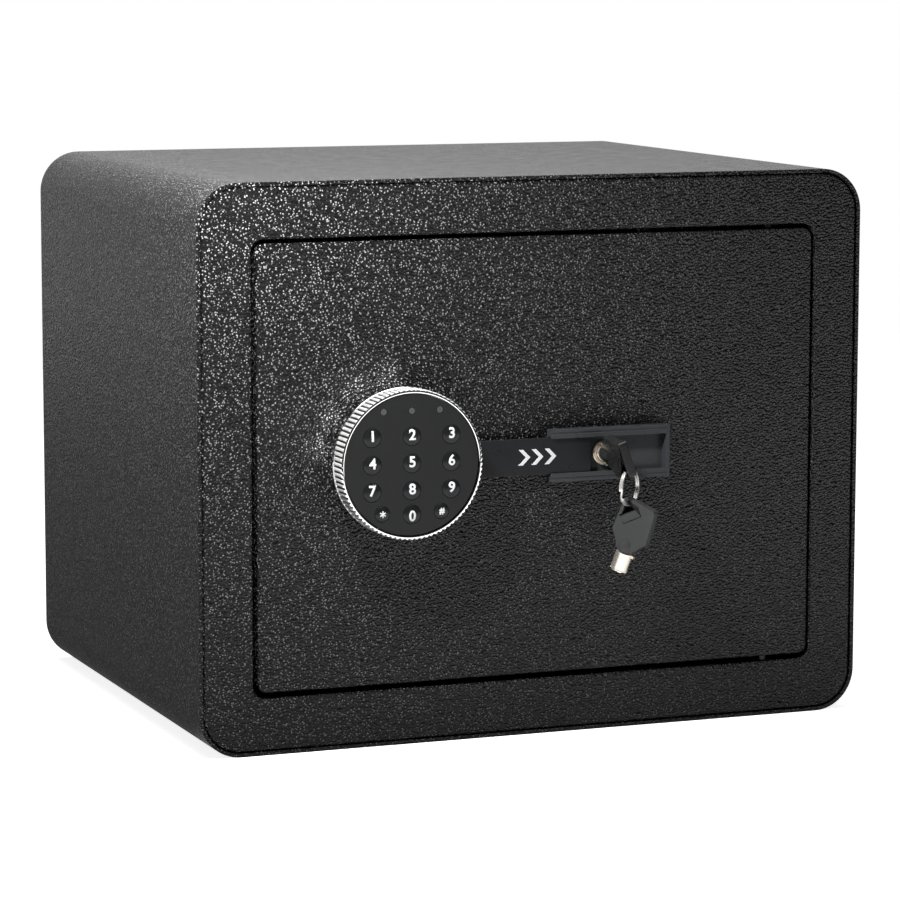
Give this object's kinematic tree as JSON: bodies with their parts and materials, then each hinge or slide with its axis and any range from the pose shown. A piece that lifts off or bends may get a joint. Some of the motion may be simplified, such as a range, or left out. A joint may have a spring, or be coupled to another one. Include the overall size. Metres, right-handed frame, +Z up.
{
  "type": "cabinet safe with keypad and override lock",
  "caption": "Front-opening cabinet safe: hinged door, keypad inside a knurled turning ring, sliding key cover, override lock with its keys, and live bolt work.",
  "frame": {"origin": "centre of the case's underside", "axes": "+X to the right as the door is seen, +Y from the door to the back, +Z up"},
  "size_m": [0.38, 0.3417, 0.3],
  "materials": {
    "black_paint": "leather-grain powder coat, satin",
    "dark_plastic": "satin moulded",
    "key_plastic": "smooth domed",
    "bow_plastic": "fine matt",
    "lamp_plastic": "dim clear lens",
    "red_plastic": "moulded",
    "chrome": "bright plate",
    "steel": "bright drawn",
    "zinc": "zinc plate",
    "nickel": "nickel plate",
    "brass": "turned",
    "board": "circuit board",
    "felt": "needle felt",
    "cell_skin": "plain sleeve"
  },
  "bodies": {
    "case": {"body_wrap": "black_paint", "rear_panel": "black_paint", "front_frame": "black_paint", "pivot_bracket_upper": "steel", "pivot_bracket_lower": "steel", "floor_mat": "felt"},
    "door": {"door_panel": "black_paint", "hinge_pin_upper": "steel", "hinge_pin_lower": "steel", "inner_cover": "black_paint", "keypad_rosette": "dark_plastic", "keypad_stem": "dark_plastic", "keypad_face": "dark_plastic", "circuit_board": "board", "lamp_left": "lamp_plastic", "lamp_middle": "lamp_plastic", "lamp_right": "lamp_plastic", "stem_bridge": "zinc", "stem_nut": "steel", "bolt_guide_lower": "zinc", "bolt_guide_upper": "zinc", "solenoid": "steel", "cover_rail": "dark_plastic", "lock_body": "brass", "lock_nut": "steel", "control_board": "board", "battery_tray": "dark_plastic", "battery_cell_1": "cell_skin", "battery_cell_2": "cell_skin", "battery_cell_3": "cell_skin", "battery_cell_4": "cell_skin"},
    "knob": {"knurled_ring": "chrome", "drive_hub": "zinc", "crank": "steel"},
    "bolts": {"bolt_carriage": "zinc", "bolt_lower": "steel", "bolt_upper": "steel"},
    "button_1": {"key_1": "key_plastic"},
    "button_2": {"key_2": "key_plastic"},
    "button_3": {"key_3": "key_plastic"},
    "button_4": {"key_4": "key_plastic"},
    "button_5": {"key_5": "key_plastic"},
    "button_6": {"key_6": "key_plastic"},
    "button_7": {"key_7": "key_plastic"},
    "button_8": {"key_8": "key_plastic"},
    "button_9": {"key_9": "key_plastic"},
    "button_star": {"key_star": "key_plastic"},
    "button_0": {"key_0": "key_plastic"},
    "button_hash": {"key_hash": "key_plastic"},
    "lock": {"lock_plug": "nickel", "lock_cam": "steel"},
    "blocker": {"plunger": "steel"},
    "cover": {"key_cover": "dark_plastic"},
    "battery_lid": {"battery_cover": "dark_plastic"},
    "reset": {"reset_button": "red_plastic"},
    "main_key": {"key_bow": "bow_plastic", "key_tube": "nickel"},
    "ring": {"split_ring": "chrome"},
    "spare_key": {"spare_key_bow": "bow_plastic", "spare_key_tube": "nickel"}
  },
  "joints": [
    {"name": "door_hinge", "type": "hinge", "parent": "case", "child": "door", "pos_m": [0.136, -0.1446, 0.1505], "axis": [0, 0, 1], "range_deg": [0, 105]},
    {"name": "knob_turn", "type": "hinge", "parent": "door", "child": "knob", "pos_m": [-0.0814, -0.168, 0.1532], "axis": [0, -1, 0], "range_deg": [0, 70]},
    {"name": "bolt_throw", "type": "slide", "parent": "door", "child": "bolts", "axis": [-1, 0, 0], "range_m": [0, 0.014]},
    {"name": "lock_turn", "type": "hinge", "parent": "door", "child": "lock", "pos_m": [0.0372, -0.158, 0.1511], "axis": [0, -1, 0], "range_deg": [0, 90]},
    {"name": "plunger_lift", "type": "slide", "parent": "door", "child": "blocker", "axis": [0, 0, 1], "range_m": [0, 0.004]},
    {"name": "key_pull", "type": "slide", "parent": "lock", "child": "main_key", "axis": [0, -1, 0], "range_m": [0, 0.02]},
    {"name": "ring_swing", "type": "hinge", "parent": "main_key", "child": "ring", "pos_m": [0.04127, -0.1764, 0.1446], "axis": [0.7837, 0.6212, 0], "range_deg": [-12, 12]},
    {"name": "spare_key_swing", "type": "hinge", "parent": "ring", "child": "spare_key", "pos_m": [0.04127, -0.1764, 0.1258], "axis": [0.829, 0.5592, 0], "range_deg": [-25, 25]},
    {"name": "cover_slide", "type": "slide", "parent": "door", "child": "cover", "axis": [1, 0, 0], "range_m": [-0.012, 0.003]},
    {"name": "battery_cover_off", "type": "slide", "parent": "door", "child": "battery_lid", "axis": [0, 1, 0], "range_m": [0, 0.03]},
    {"name": "reset_press", "type": "slide", "parent": "door", "child": "reset", "axis": [0, -1, 0], "range_m": [0, 0.0015], "stiffness_N_per_m": 300},
    {"name": "press_1", "type": "slide", "parent": "door", "child": "button_1", "axis": [0, 1, 0], "range_m": [0, 0.0008], "stiffness_N_per_m": 300},
    {"name": "press_2", "type": "slide", "parent": "door", "child": "button_2", "axis": [0, 1, 0], "range_m": [0, 0.0008], "stiffness_N_per_m": 300},
    {"name": "press_3", "type": "slide", "parent": "door", "child": "button_3", "axis": [0, 1, 0], "range_m": [0, 0.0008], "stiffness_N_per_m": 300},
    {"name": "press_4", "type": "slide", "parent": "door", "child": "button_4", "axis": [0, 1, 0], "range_m": [0, 0.0008], "stiffness_N_per_m": 300},
    {"name": "press_5", "type": "slide", "parent": "door", "child": "button_5", "axis": [0, 1, 0], "range_m": [0, 0.0008], "stiffness_N_per_m": 300},
    {"name": "press_6", "type": "slide", "parent": "door", "child": "button_6", "axis": [0, 1, 0], "range_m": [0, 0.0008], "stiffness_N_per_m": 300},
    {"name": "press_7", "type": "slide", "parent": "door", "child": "button_7", "axis": [0, 1, 0], "range_m": [0, 0.0008], "stiffness_N_per_m": 300},
    {"name": "press_8", "type": "slide", "parent": "door", "child": "button_8", "axis": [0, 1, 0], "range_m": [0, 0.0008], "stiffness_N_per_m": 300},
    {"name": "press_9", "type": "slide", "parent": "door", "child": "button_9", "axis": [0, 1, 0], "range_m": [0, 0.0008], "stiffness_N_per_m": 300},
    {"name": "press_star", "type": "slide", "parent": "door", "child": "button_star", "axis": [0, 1, 0], "range_m": [0, 0.0008], "stiffness_N_per_m": 300},
    {"name": "press_0", "type": "slide", "parent": "door", "child": "button_0", "axis": [0, 1, 0], "range_m": [0, 0.0008], "stiffness_N_per_m": 300},
    {"name": "press_hash", "type": "slide", "parent": "door", "child": "button_hash", "axis": [0, 1, 0], "range_m": [0, 0.0008], "stiffness_N_per_m": 300}
  ],
  "couplings": [
    {"joint": "bolt_throw", "follows": "knob_turn", "m_per_rad": 0.011459},
    {"joint": "lock_turn", "follows": "plunger_lift", "rad_per_m": 392.69}
  ]
}
